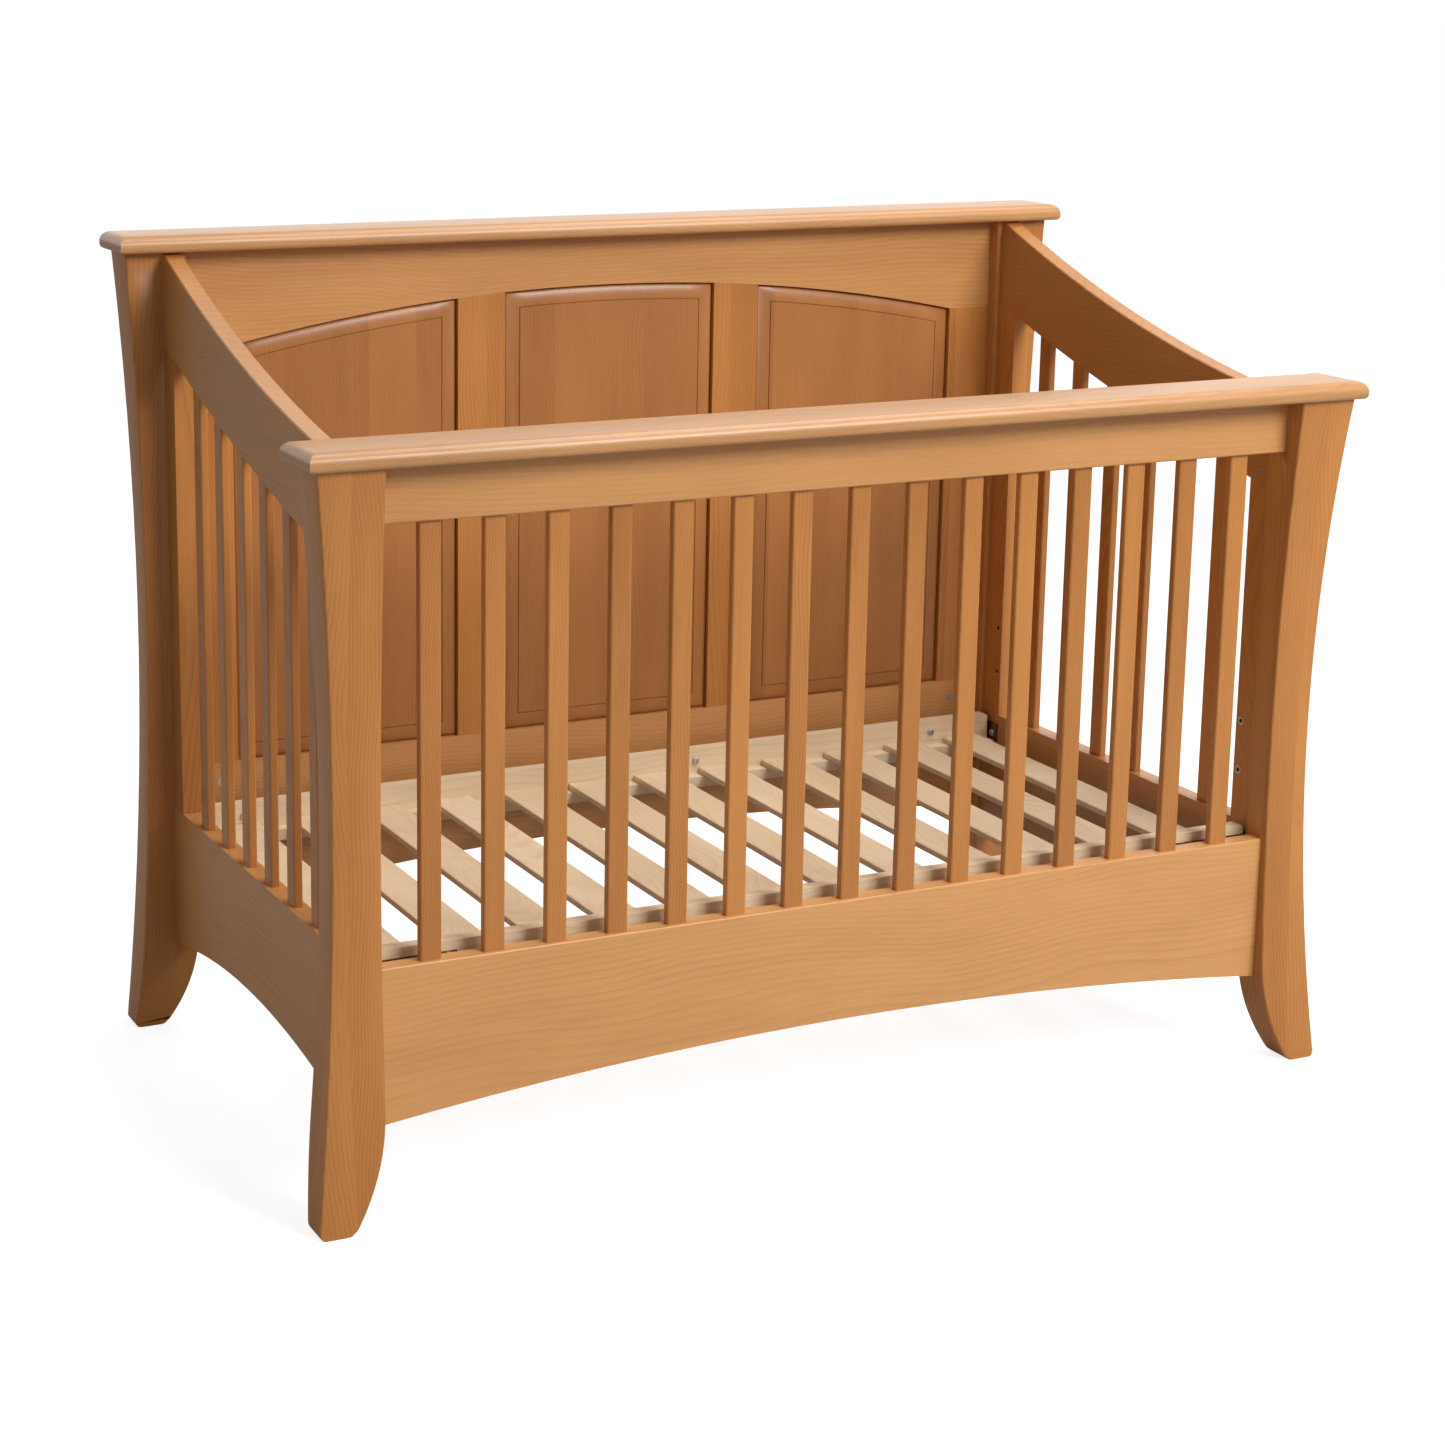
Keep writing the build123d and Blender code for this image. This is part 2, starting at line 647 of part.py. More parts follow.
with BuildPart() as back_bottom_rail:
    with BuildSketch(front_plane(back_front_y)):
        with BuildLine():
            Polyline(
                (-post_inner_x, back_arch_end),
                (-post_inner_x, back_bottom_rail_top),
                (post_inner_x, back_bottom_rail_top),
                (post_inner_x, back_arch_end),
            )
            ThreePointArc(
                (-post_inner_x, back_arch_end), (0, back_arch_middle), (post_inner_x, back_arch_end)
            )
        make_face()
    extrude(amount=-back_thickness)
    add(panel_grooves(), mode=Mode.SUBTRACT)
    for x_from, x_to in MEMBERS.values():
        bottom = back_bottom_rail_top - frame_tenon
        add(frame_tenon_block(x_from, x_to, bottom, back_bottom_rail_top, glue_gap), mode=Mode.SUBTRACT)
    add(rail_bores(back_front_y, back_mid_y, 1, back_stud_heights[:1]), mode=Mode.SUBTRACT)
save(back_bottom_rail, "back_bottom_rail")

for name, (x_from, x_to) in MEMBERS.items():
    tops = member_top(x_from, x_to)
    x_mid = (x_from + x_to) / 2
    with BuildPart() as member:
        with BuildSketch(front_plane(back_front_y)):
            with BuildLine():
                Polyline(
                    (x_from, tops[0]),
                    (x_from, back_bottom_rail_top),
                    (x_to, back_bottom_rail_top),
                    (x_to, tops[1]),
                )
                if "mullion" in name:
                    ThreePointArc((x_to, tops[1]), (x_mid, arc_height(BACK_ARCH, x_mid)), (x_from, tops[0]))
                else:
                    Line((x_to, tops[1]), (x_from, tops[0]))
            make_face()
        extrude(amount=-back_thickness)
        add(panel_grooves(), mode=Mode.SUBTRACT)
        add(frame_tenon_block(x_from, x_to, back_bottom_rail_top - frame_tenon, max(tops) + frame_tenon, 0))
    save(member, f"back_{name}")

tongue_y = back_front_y + groove_setback + (groove_width - panel_edge_thickness) / 2
bevel_top_y = back_front_y + panel_face_setback + panel_quirk
for name, (x_from, x_to) in OPENINGS.items():
    board = panel_outline(bevel_top_y, x_from, x_to, -panel_gap)
    field = panel_outline(bevel_top_y, x_from, x_to, -panel_gap - panel_bevel_width - panel_quirk)
    tongue = panel_outline(tongue_y, x_from, x_to, panel_tongue)
    with BuildPart() as panel:
        extrude(board, amount=bevel_top_y - tongue_y - panel_edge_thickness)
        front_face = panel.faces().filter_by(Axis.Y).sort_by(Axis.Y)[0]
        chamfer(front_face.edges(), length=panel_bevel_width, length2=panel_bevel_depth, reference=front_face)
        extrude(field, amount=panel_quirk)
        extrude(tongue, amount=-panel_edge_thickness)
    save(panel, f"back_panel_{name}")

# ---------------------------------------------------------------- mattress support
cleat_back_y = post_inner_y - bracket_post_gap - bracket_thickness
cleat_front_y = cleat_back_y - cleat_thickness
bolt_seat_x = end_inner_x - 2 * slide_gap - bracket_thickness
cleat_end_x = bolt_seat_x - bolt_head_height - bolt_head_gap
cleat_bottom = hole_heights[0] - cleat_below_bolts
cleat_top = cleat_bottom + cleat_height
ledger_top = cleat_bottom + ledger_height
cleat_bolt_height = cleat_bottom + cleat_bolt_rise
CLEAT_BOLTS_X = (cleat_bolt_near - end_inner_x, cleat_bolt_middle_x, end_inner_x - cleat_bolt_far)
CLEATS = {"front": -1, "rear": 1}

for name, end in CLEATS.items():
    with BuildPart() as cleat:
        with BuildSketch(Plane.XZ.offset(-end * cleat_front_y)):
            with Locations((0, (cleat_bottom + cleat_top) / 2)):
                Rectangle(2 * cleat_end_x, cleat_height)
            with Locations([(end * x, cleat_bolt_height) for x in CLEAT_BOLTS_X]):
                Circle(bolt_diameter / 2 + bolt_clearance, mode=Mode.SUBTRACT)
        extrude(amount=-end * cleat_thickness)
        top_corners = cleat.edges().filter_by(Axis.Y).group_by(Axis.Z)[-1]
        fillet(top_corners, radius=cleat_corner_round)
    save(cleat, f"support_{name}_cleat")

# the strips glued along the cleats' lower edges, which carry the slats
with BuildPart() as support_ledgers:
    for end in CLEATS.values():
        with BuildSketch(Plane.XZ.offset(-end * cleat_front_y)):
            with Locations((0, (cleat_bottom + ledger_top) / 2)):
                Rectangle(2 * cleat_end_x, ledger_height)
        extrude(amount=end * ledger_depth)
save(support_ledgers, "support_ledgers")

bed_slat_length = 2 * (cleat_front_y - bed_slat_end_gap)
bed_slat_pitch = (2 * (cleat_end_x - bed_slat_margin) - bed_slat_width) / (bed_slat_count - 1)
with BuildPart() as support_slats:
    with BuildSketch(Plane.XY.offset(ledger_top)):
        with GridLocations(bed_slat_pitch, 0, bed_slat_count, 1):
            Rectangle(bed_slat_width, bed_slat_length)
    extrude(amount=bed_slat_thickness)
    fillet(support_slats.edges().filter_by(Axis.Y), radius=bed_slat_round)
save(support_slats, "support_slats")

bracket_outer_x = end_inner_x - slide_gap
bracket_toe_y = support_bolt_y - bracket_toe
bracket_back_y = cleat_back_y + bracket_thickness
bracket_bottom = hole_heights[0] - bracket_below_bolt
bracket_mid_z = bracket_bottom + bracket_height / 2
bracket_slot_width = bolt_diameter + 2 * bracket_hole_clearance
with BuildPart() as support_brackets:
    for side in (-1, 1):
        for end in (-1, 1):
            # leg against the end panel, hooked over its bolt from above
            with BuildSketch(Plane.YZ.offset(side * bracket_outer_x)):
                with Locations((end * (bracket_toe_y + bracket_back_y) / 2, bracket_mid_z)):
                    Rectangle(bracket_back_y - bracket_toe_y, bracket_height)
                with Locations((end * support_bolt_y, hole_heights[0])):
                    Circle(bracket_slot_width / 2, mode=Mode.SUBTRACT)
                with Locations((end * support_bolt_y, hole_heights[0] - bracket_below_bolt / 2)):
                    Rectangle(bracket_slot_width, bracket_below_bolt, mode=Mode.SUBTRACT)
            extrude(amount=-side * bracket_thickness)
            # leg along the back of the cleat, slotted from one end bolt's place to the other's
            with BuildSketch(Plane.XZ.offset(-end * cleat_back_y)):
                with Locations((side * (bracket_outer_x - bracket_leg_length / 2), bracket_mid_z)):
                    Rectangle(bracket_leg_length, bracket_height)
                slot_mid_x = end_inner_x - (cleat_bolt_near + cleat_bolt_far) / 2
                with Locations((side * slot_mid_x, cleat_bolt_height)):
                    SlotCenterToCenter(
                        abs(cleat_bolt_far - cleat_bolt_near), bracket_slot_width, mode=Mode.SUBTRACT
                    )
            extrude(amount=-end * bracket_thickness)
save(support_brackets, "support_brackets")


# ---------------------------------------------------------------- bolts, inserts and nuts
def hex_bolt(plane, length):
    """A button-head socket bolt: head on the plane's positive side, shank on its negative side."""
    with BuildPart(mode=Mode.PRIVATE) as bolt:
        with BuildSketch(plane):
            Circle(bolt_head_diameter / 2)
        extrude(amount=bolt_head_height)
        rim = bolt.edges().filter_by(GeomType.CIRCLE).sort_by(Axis(plane.origin, plane.z_dir))[-1]
        fillet(rim, radius=bolt_head_round)
        with BuildSketch(plane.offset(bolt_head_height)):
            RegularPolygon(hex_across_flats / 2, 6, major_radius=False)
        extrude(amount=-hex_depth, mode=Mode.SUBTRACT)
        with BuildSketch(plane):
            Circle(bolt_diameter / 2)
        extrude(amount=-length)
    return bolt.part


def threaded_insert(side, end, height):
    """A flanged insert, level with the end panel's inner face."""
    with BuildPart() as insert:
        for diameter, length, mode in (
            (insert_flange_diameter, insert_flange_thickness, Mode.ADD),
            (insert_diameter, insert_length, Mode.ADD),
            (bolt_diameter + 2 * bolt_clearance, insert_length, Mode.SUBTRACT),
        ):
            with BuildSketch(Plane.YZ.offset(side * end_inner_x)):
                with Locations((end * support_bolt_y, height)):
                    Circle(diameter / 2)
            extrude(amount=side * length, mode=mode)
    return insert.part


def barrel_nut(x, mid_y, face_y, towards, height):
    """A barrel nut sunk into one face of a rail, cross-drilled for its stud."""
    with BuildPart() as nut:
        with BuildSketch(Plane.XZ.offset(-(face_y + towards * barrel_sink))):
            with Locations((x, height)):
                Circle(barrel_diameter / 2)
        extrude(amount=-towards * (barrel_depth - barrel_sink))
        with BuildSketch(Plane.YZ.offset(x)):
            with Locations((mid_y, height)):
                Circle(bolt_diameter / 2 + bolt_clearance)
        extrude(amount=barrel_diameter, both=True, mode=Mode.SUBTRACT)
    return nut.part


cleat_bolt_length = cleat_thickness + bracket_thickness + nut_thickness + cleat_bolt_spare
with BuildPart() as cleat_bolts_and_nuts:
    for end in (-1, 1):
        for x in CLEAT_BOLTS_X:
            seat_at = (end * x, end * cleat_front_y, cleat_bolt_height)
            add(hex_bolt(Plane(seat_at, x_dir=(1, 0, 0), z_dir=(0, -end, 0)), cleat_bolt_length))
            # its nut, on the bracket's leg where there is one, else on the cleat
            on_bracket = abs(x) > bracket_outer_x - bracket_leg_length
            nut_y = bracket_back_y if on_bracket else cleat_back_y
            with BuildSketch(Plane.XZ.offset(-end * nut_y)):
                with Locations((end * x, cleat_bolt_height)):
                    RegularPolygon(nut_across_flats / 2, 6, major_radius=False)
                    Circle(bolt_diameter / 2 + bolt_clearance, mode=Mode.SUBTRACT)
            extrude(amount=-end * nut_thickness)
save(cleat_bolts_and_nuts, "cleat_bolts_and_nuts")

with BuildPart() as support_bolts_and_inserts:
    for side in (-1, 1):
        for end in (-1, 1):
            # a button head over the support's bracket, at the height in use
            seat_at = (side * bolt_seat_x, end * support_bolt_y, hole_heights[0])
            add(hex_bolt(Plane(seat_at, x_dir=(0, 1, 0), z_dir=(-side, 0, 0)), support_bolt_length))
            # a threaded insert at each height
            for height in hole_heights:
                add(threaded_insert(side, end, height))
save(support_bolts_and_inserts, "support_bolts_and_inserts")

FRAME_JOINTS = [
    (front_rail_mid_y, front_rail_back_y, -1, front_stud_heights),
    (back_mid_y, back_front_y, 1, back_stud_heights[:1]),
    (back_mid_y, back_rear_y, -1, back_stud_heights[1:]),
]
with BuildPart() as frame_studs_and_barrel_nuts:
    for mid_y, face_y, towards, heights in FRAME_JOINTS:
        for side in (-1, 1):
            for height in heights:
                # a stud from the post into the rail's end, and the barrel nut that takes it
                with BuildSketch(Plane.YZ.offset(side * (post_inner_x + stud_in_post))):
                    with Locations((mid_y, height)):
                        Circle(bolt_diameter / 2)
                extrude(amount=-side * stud_length)
                add(barrel_nut(side * (post_inner_x - barrel_setback), mid_y, face_y, towards, height))
save(frame_studs_and_barrel_nuts, "frame_studs_and_barrel_nuts")
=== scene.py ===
import math

import bmesh
import bpy
from mathutils import Matrix, Vector


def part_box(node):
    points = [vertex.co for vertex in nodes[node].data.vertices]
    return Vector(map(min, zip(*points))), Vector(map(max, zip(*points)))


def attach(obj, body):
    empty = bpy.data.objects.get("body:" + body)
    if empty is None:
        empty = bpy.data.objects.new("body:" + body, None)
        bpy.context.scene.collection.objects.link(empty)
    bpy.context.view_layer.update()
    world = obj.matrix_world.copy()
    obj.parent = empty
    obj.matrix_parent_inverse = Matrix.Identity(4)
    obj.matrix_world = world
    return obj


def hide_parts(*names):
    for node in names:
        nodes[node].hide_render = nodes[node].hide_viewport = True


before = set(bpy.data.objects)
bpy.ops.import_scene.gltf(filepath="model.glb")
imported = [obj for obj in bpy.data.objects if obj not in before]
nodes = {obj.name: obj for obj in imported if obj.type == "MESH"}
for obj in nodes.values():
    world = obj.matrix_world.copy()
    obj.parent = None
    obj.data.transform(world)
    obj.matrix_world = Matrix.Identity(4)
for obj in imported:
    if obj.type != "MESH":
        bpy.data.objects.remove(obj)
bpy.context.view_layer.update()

MM = 0.001
box = {name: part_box(name) for name in nodes}


# ---------------------------------------------------------------- shader helpers
def add_node(tree, kind, **settings):
    """A shader node with its properties set."""
    node = tree.nodes.new(kind)
    for name, value in settings.items():
        setattr(node, name, value)
    return node


def put(tree, node, values):
    """Set inputs by name or number: a socket is linked, anything else is its value."""
    for key, value in values.items():
        socket = node.inputs[key]
        if isinstance(value, bpy.types.NodeSocket):
            tree.links.new(value, socket)
        else:
            socket.default_value = value
    return node


def math_node(tree, operation, a, b=0.0, c=None, clamp=False):
    node = add_node(tree, "ShaderNodeMath", operation=operation, use_clamp=clamp)
    put(tree, node, {0: a, 1: b} if c is None else {0: a, 1: b, 2: c})
    return node.outputs[0]


def vector_math(tree, operation, a, b=(0, 0, 0)):
    node = add_node(tree, "ShaderNodeVectorMath", operation=operation)
    put(tree, node, {0: a, 1: b})
    return node.outputs["Vector"]


def parts_of(tree, vector):
    """The three numbers of a vector, as sockets X, Y and Z."""
    return put(tree, add_node(tree, "ShaderNodeSeparateXYZ"), {0: vector}).outputs


def noise(tree, place, stretch, detail, roughness=0.5):
    """Noise from 0 to 1 that repeats about as many times a metre along each axis as stretch says."""
    node = add_node(tree, "ShaderNodeTexNoise")
    put(tree, node, {
        "Vector": vector_math(tree, "MULTIPLY", place, stretch), "Scale": 1.0, "Detail": detail,
        "Roughness": roughness,
    })
    return node.outputs["Fac"]


def ramp(tree, factor, stops):
    """A greyscale ramp through (position, value) stops."""
    node = add_node(tree, "ShaderNodeValToRGB")
    elements = node.color_ramp.elements
    while len(elements) < len(stops):
        elements.new(0.5)
    for element, (position, value) in zip(elements, stops):
        element.position = position
        element.color = (value, value, value, 1)
    put(tree, node, {"Fac": factor})
    return node.outputs["Color"]


def mix_colour(tree, factor, a, b):
    node = add_node(tree, "ShaderNodeMix", data_type="RGBA")
    put(tree, node, {0: factor, 6: a, 7: b})
    return node.outputs[2]


def new_group(name, inputs, outputs):
    """A node group with its sockets given as (label, kind), and the ends to link inside it."""
    group = bpy.data.node_groups.new(name, "ShaderNodeTree")
    for label, kind in inputs:
        group.interface.new_socket(name=label, in_out="INPUT", socket_type=kind)
    for label, kind in outputs:
        group.interface.new_socket(name=label, in_out="OUTPUT", socket_type=kind)
    entry = group.nodes.new("NodeGroupInput")
    leave = group.nodes.new("NodeGroupOutput")
    return group, entry.outputs, leave.inputs


# ---------------------------------------------------------------- wood
NUMBER, VECTOR, COLOUR = "NodeSocketFloat", "NodeSocketVector", "NodeSocketColor"
HALF = (0.5, 0.5, 0.5)

# where each board is cut from the trunk: lengths in metres
BOARDS_APART = (7.3, 5.1, 6.7)
PITH_SIDEWAYS = 0.16
PITH_RISE = 0.11
RING_WAVER = 0.012

# how often each feature repeats to a metre, along the grain and twice across it
PITH_STRETCH = (2.2, 3.0, 3.0)
WAVER_STRETCH = (2.6, 9.0, 9.0)
FADING_STRETCH = (1.5, 40.0, 40.0)
FIBRE_STRETCH = (9.0, 520.0, 520.0)
PORE_STRETCH = (110.0, 1500.0, 1500.0)
CLOUD_STRETCH = (3.5, 16.0, 16.0)

# from pale early wood to dark late wood across one ring, where rings fade, and which specks are pores
RING_PROFILE = [(0.0, 0.5), (0.1, 0.04), (0.55, 0.16), (0.93, 1.0), (1.0, 0.62)]
RING_FADING = [(0.3, 0.35), (0.7, 1.0)]
PORE_EDGE = [(0.60, 0.0), (0.74, 1.0)]

# how much each feature darkens the wood, roughens it and stands out of it
MEAN_TONE, FIBRE_TONE, CLOUD_TONE, PORE_TONE = 0.16, 0.4, 0.6, 0.16
MEAN_ROUGHNESS, FIBRE_ROUGHNESS, PORE_ROUGHNESS = 0.31, 0.10, 0.08
FIBRE_HEIGHT, PORE_HEIGHT = 0.35, -0.6


def board_group():
    """Splits space into boards, each with its own centred place, shift of pattern and tone."""
    group, given, out = new_group(
        "separate_boards",
        [("Vector", VECTOR), ("Board Size", VECTOR), ("Seed", NUMBER)],
        [("Vector", VECTOR), ("Tone", NUMBER), ("Shift", VECTOR)],
    )
    cell = vector_math(group, "DIVIDE", given["Vector"], given["Board Size"])
    cell = vector_math(group, "ADD", cell, HALF)
    cell = vector_math(group, "FLOOR", cell)
    centre = vector_math(group, "MULTIPLY", cell, given["Board Size"])
    local = vector_math(group, "SUBTRACT", given["Vector"], centre)
    random = add_node(group, "ShaderNodeTexWhiteNoise", noise_dimensions="4D")
    put(group, random, {"Vector": cell, "W": given["Seed"]})
    shift = vector_math(group, "SUBTRACT", random.outputs["Color"], HALF)
    group.links.new(local, out["Vector"])
    group.links.new(random.outputs["Value"], out["Tone"])
    group.links.new(shift, out["Shift"])
    return group


def grain_group():
    """Wood figure along X: growth rings cut by the board's face, fibres, pores and slow clouds of tone."""
    group, given, out = new_group(
        "wood_grain",
        [("Vector", VECTOR), ("Shift", VECTOR), ("Tone", NUMBER), ("Light", COLOUR), ("Dark", COLOUR),
         ("Ring Width", NUMBER), ("Ring Strength", NUMBER), ("Pith Depth", NUMBER), ("Tone Spread", NUMBER)],
        [("Color", COLOUR), ("Roughness", NUMBER), ("Height", NUMBER)],
    )

    def about_middle(value):
        return math_node(group, "SUBTRACT", value, 0.5)

    def squared(value):
        return math_node(group, "MULTIPLY", value, value)

    def darker(dark, feature, amount):
        return math_node(group, "MULTIPLY_ADD", feature, amount, dark)

    far = vector_math(group, "MULTIPLY", given["Shift"], BOARDS_APART)
    place = vector_math(group, "ADD", given["Vector"], far)
    # how far each point is from the pith, which wanders slowly along the board
    local, shift = parts_of(group, given["Vector"]), parts_of(group, given["Shift"])
    across = math_node(group, "MULTIPLY_ADD", shift["Y"], PITH_SIDEWAYS, local["Y"])
    slow = noise(group, place, PITH_STRETCH, 1.0)
    rise = math_node(group, "MULTIPLY_ADD", slow, PITH_RISE, given["Pith Depth"])
    depth = math_node(group, "ADD", local["Z"], math_node(group, "SUBTRACT", rise, PITH_RISE / 2))
    radius = math_node(group, "SQRT", math_node(group, "ADD", squared(across), squared(depth)))
    radius = math_node(group, "MULTIPLY_ADD", noise(group, place, WAVER_STRETCH, 2.0), RING_WAVER, radius)
    rings = math_node(group, "DIVIDE", radius, given["Ring Width"])
    late = ramp(group, math_node(group, "FRACT", rings), RING_PROFILE)
    fading = ramp(group, noise(group, place, FADING_STRETCH, 1.0), RING_FADING)
    late = math_node(group, "MULTIPLY", late, fading)
    fibre = noise(group, place, FIBRE_STRETCH, 3.0, 0.6)
    pores = ramp(group, noise(group, place, PORE_STRETCH, 1.0), PORE_EDGE)
    cloud = noise(group, place, CLOUD_STRETCH, 3.0, 0.55)
    # how dark each point is, from 0 to 1
    dark = math_node(group, "MULTIPLY", late, given["Ring Strength"])
    dark = darker(dark, about_middle(fibre), FIBRE_TONE)
    dark = darker(dark, about_middle(cloud), CLOUD_TONE)
    dark = darker(dark, pores, PORE_TONE)
    dark = darker(dark, about_middle(given["Tone"]), given["Tone Spread"])
    dark = math_node(group, "ADD", dark, MEAN_TONE, clamp=True)
    group.links.new(mix_colour(group, dark, given["Light"], given["Dark"]), out["Color"])
    rough = math_node(group, "MULTIPLY_ADD", fibre, FIBRE_ROUGHNESS, MEAN_ROUGHNESS)
    rough = math_node(group, "MULTIPLY_ADD", pores, PORE_ROUGHNESS, rough)
    group.links.new(rough, out["Roughness"])
    pits = math_node(group, "MULTIPLY", pores, PORE_HEIGHT)
    group.links.new(math_node(group, "MULTIPLY_ADD", fibre, FIBRE_HEIGHT, pits), out["Height"])
    return group


BOARDS = board_group()
GRAIN = grain_group()
TURN = {"x": (0, 0, 0), "y": (0, 0, math.radians(-90)), "z": (0, math.radians(90), 0)}
NO_SPLIT = 20.0
LACQUER = 0.2
LACQUER_ROUGHNESS = 0.22
WOOD_SPECULAR = 0.4
GRAIN_RELIEF, GRAIN_DEPTH = 0.08, 0.6 * MM


def relief(tree, height, strength, distance):
    """Fine relief on a material's surface."""
    node = add_node(tree, "ShaderNodeBump")
    put(tree, node, {"Height": height, "Strength": strength, "Distance": distance})
    tree.links.new(node.outputs[0], tree.nodes["Principled BSDF"].inputs["Normal"])


def wood(name, along, tones, centre, ring_width, ring_strength, seed, board=(NO_SPLIT,) * 3, pith_depth=0.09,
         tone_spread=0.25, lacquer=LACQUER, roughness_shift=0.0):
    """Lacquered or bare wood whose grain runs along one axis of the crib, from light to dark tone."""
    material = bpy.data.materials.new(name)
    material.use_nodes = True
    tree = material.node_tree
    shader = tree.nodes["Principled BSDF"]
    light, dark = tones
    place = add_node(tree, "ShaderNodeTexCoord").outputs["Object"]
    centred = add_node(tree, "ShaderNodeMapping")
    put(tree, centred, {"Vector": place, "Location": [-c for c in centre]})
    split = add_node(tree, "ShaderNodeGroup", node_tree=BOARDS)
    put(tree, split, {"Vector": centred.outputs[0], "Board Size": board, "Seed": seed})
    turned = add_node(tree, "ShaderNodeMapping")
    put(tree, turned, {"Vector": split.outputs["Vector"], "Rotation": TURN[along]})
    grain = add_node(tree, "ShaderNodeGroup", node_tree=GRAIN)
    put(tree, grain, {
        "Vector": turned.outputs[0], "Shift": split.outputs["Shift"], "Tone": split.outputs["Tone"],
        "Light": (*light, 1), "Dark": (*dark, 1), "Ring Width": ring_width, "Ring Strength": ring_strength,
        "Pith Depth": pith_depth, "Tone Spread": tone_spread,
    })
    tree.links.new(grain.outputs["Color"], shader.inputs["Base Color"])
    rough = math_node(tree, "ADD", grain.outputs["Roughness"], roughness_shift)
    tree.links.new(rough, shader.inputs["Roughness"])
    shader.inputs["Coat Weight"].default_value = lacquer
    shader.inputs["Coat Roughness"].default_value = LACQUER_ROUGHNESS
    shader.inputs["Specular IOR Level"].default_value = WOOD_SPECULAR
    relief(tree, grain.outputs["Height"], GRAIN_RELIEF, GRAIN_DEPTH)
    return material


SPECKS_PER_METRE = (900.0,) * 3
SPECK_ROUGHNESS = 0.2
SPECK_RELIEF, SPECK_DEPTH = 0.15, 0.2 * MM


def metal(name, colour, roughness, speckle):
    """Plated or blackened steel with faint mottling."""
    material = bpy.data.materials.new(name)
    material.use_nodes = True
    tree = material.node_tree
    shader = tree.nodes["Principled BSDF"]
    place = add_node(tree, "ShaderNodeTexCoord").outputs["Object"]
    mottle = noise(tree, place, SPECKS_PER_METRE, 3.0, 0.6)
    darkest, lightest = ([c * share for c in colour] for share in (1 - speckle, 1 + speckle))
    tree.links.new(mix_colour(tree, mottle, (*darkest, 1), (*lightest, 1)), shader.inputs["Base Color"])
    shader.inputs["Metallic"].default_value = 1.0
    rough = math_node(tree, "MULTIPLY_ADD", mottle, SPECK_ROUGHNESS, roughness - SPECK_ROUGHNESS / 2)
    tree.links.new(rough, shader.inputs["Roughness"])
    relief(tree, mottle, SPECK_RELIEF, SPECK_DEPTH)
    return material


# ---------------------------------------------------------------- which finish each piece gets
# light and dark tone of each wood, with painted light in the front, back and cap rail tones
HONEY = (0.555, 0.224, 0.052), (0.270, 0.085, 0.013)
# a paler copy of the honey tone for the front and back rails: painted light, standing in for the key light on
# their faces
RAIL_HONEY_PAINTED_LIGHT = (0.660, 0.325, 0.115), (0.350, 0.140, 0.036)
# the honey tone paled and greyed for the cap rails: painted reflection of the bright backdrop on their tops
# and painted highlight on the nose
CAP_HONEY_PAINTED_SHEEN = (0.560, 0.285, 0.115), (0.300, 0.125, 0.038)
END_RAIL_HONEY = (0.560, 0.248, 0.072), (0.290, 0.104, 0.022)
PANEL_HONEY = (0.430, 0.172, 0.046), (0.210, 0.070, 0.014)
BARE = (0.83, 0.66, 0.45), (0.56, 0.38, 0.21)

PANEL_BOARD = 73 * MM         # the panels are glued up from boards of this width
BED_SLAT_CELL = 110 * MM      # a cell round each bare slat


def middle(name):
    low, high = box[name]
    return (low + high) / 2


front_pitch = middle("front_slat_02").x - middle("front_slat_01").x
end_pitch = middle("left_end_slat_2").y - middle("left_end_slat_1").y
front_slat_wood = wood(
    "front_slat_wood", "z", HONEY, centre=middle("front_slat_08"), board=(front_pitch, NO_SPLIT, NO_SPLIT),
    ring_width=3.5 * MM, ring_strength=0.35, tone_spread=0.42, seed=3.1)
end_slat_wood = wood(
    "end_slat_wood", "z", HONEY, centre=(0, end_pitch / 2, 0.6), board=(1.3, end_pitch, NO_SPLIT),
    ring_width=3.5 * MM, ring_strength=0.35, tone_spread=0.42, seed=5.7)
post_wood = wood(
    "post_wood", "z", HONEY, centre=(0, 0, 0.5), board=(1.4, 0.75, NO_SPLIT),
    ring_width=5 * MM, ring_strength=0.35, tone_spread=0.2, seed=1.3, pith_depth=0.14)
stile_wood = wood(
    "stile_wood", "z", HONEY, centre=(0, 0, 0.6), board=(0.4, 0.3, NO_SPLIT),
    ring_width=4.5 * MM, ring_strength=0.35, tone_spread=0.35, seed=8.2)
panel_wood = wood(
    "panel_wood", "z", PANEL_HONEY, centre=(0.02, middle("back_panel_centre").y, 0.7),
    board=(PANEL_BOARD, NO_SPLIT, NO_SPLIT), ring_width=4 * MM, ring_strength=0.3, tone_spread=0.3, seed=2.4)
bare_slat_wood = wood(
    "bare_slat_wood", "y", BARE, centre=(BED_SLAT_CELL / 2, 0, 0.296),
    board=(BED_SLAT_CELL, NO_SPLIT, NO_SPLIT), ring_width=4 * MM, ring_strength=0.3, tone_spread=0.35,
    seed=6.6, lacquer=0.0, roughness_shift=0.2)
bare_cleat_wood = wood(
    "bare_cleat_wood", "x", BARE, centre=(0, 0, 0.3), board=(NO_SPLIT, 0.6, NO_SPLIT),
    ring_width=4 * MM, ring_strength=0.3, seed=4.9, lacquer=0.0, roughness_shift=0.2)
bronze = metal("bronzed_steel", (0.20, 0.105, 0.055), 0.45, 0.2)
zinc = metal("zinc_plated_steel", (0.55, 0.54, 0.52), 0.38, 0.15)

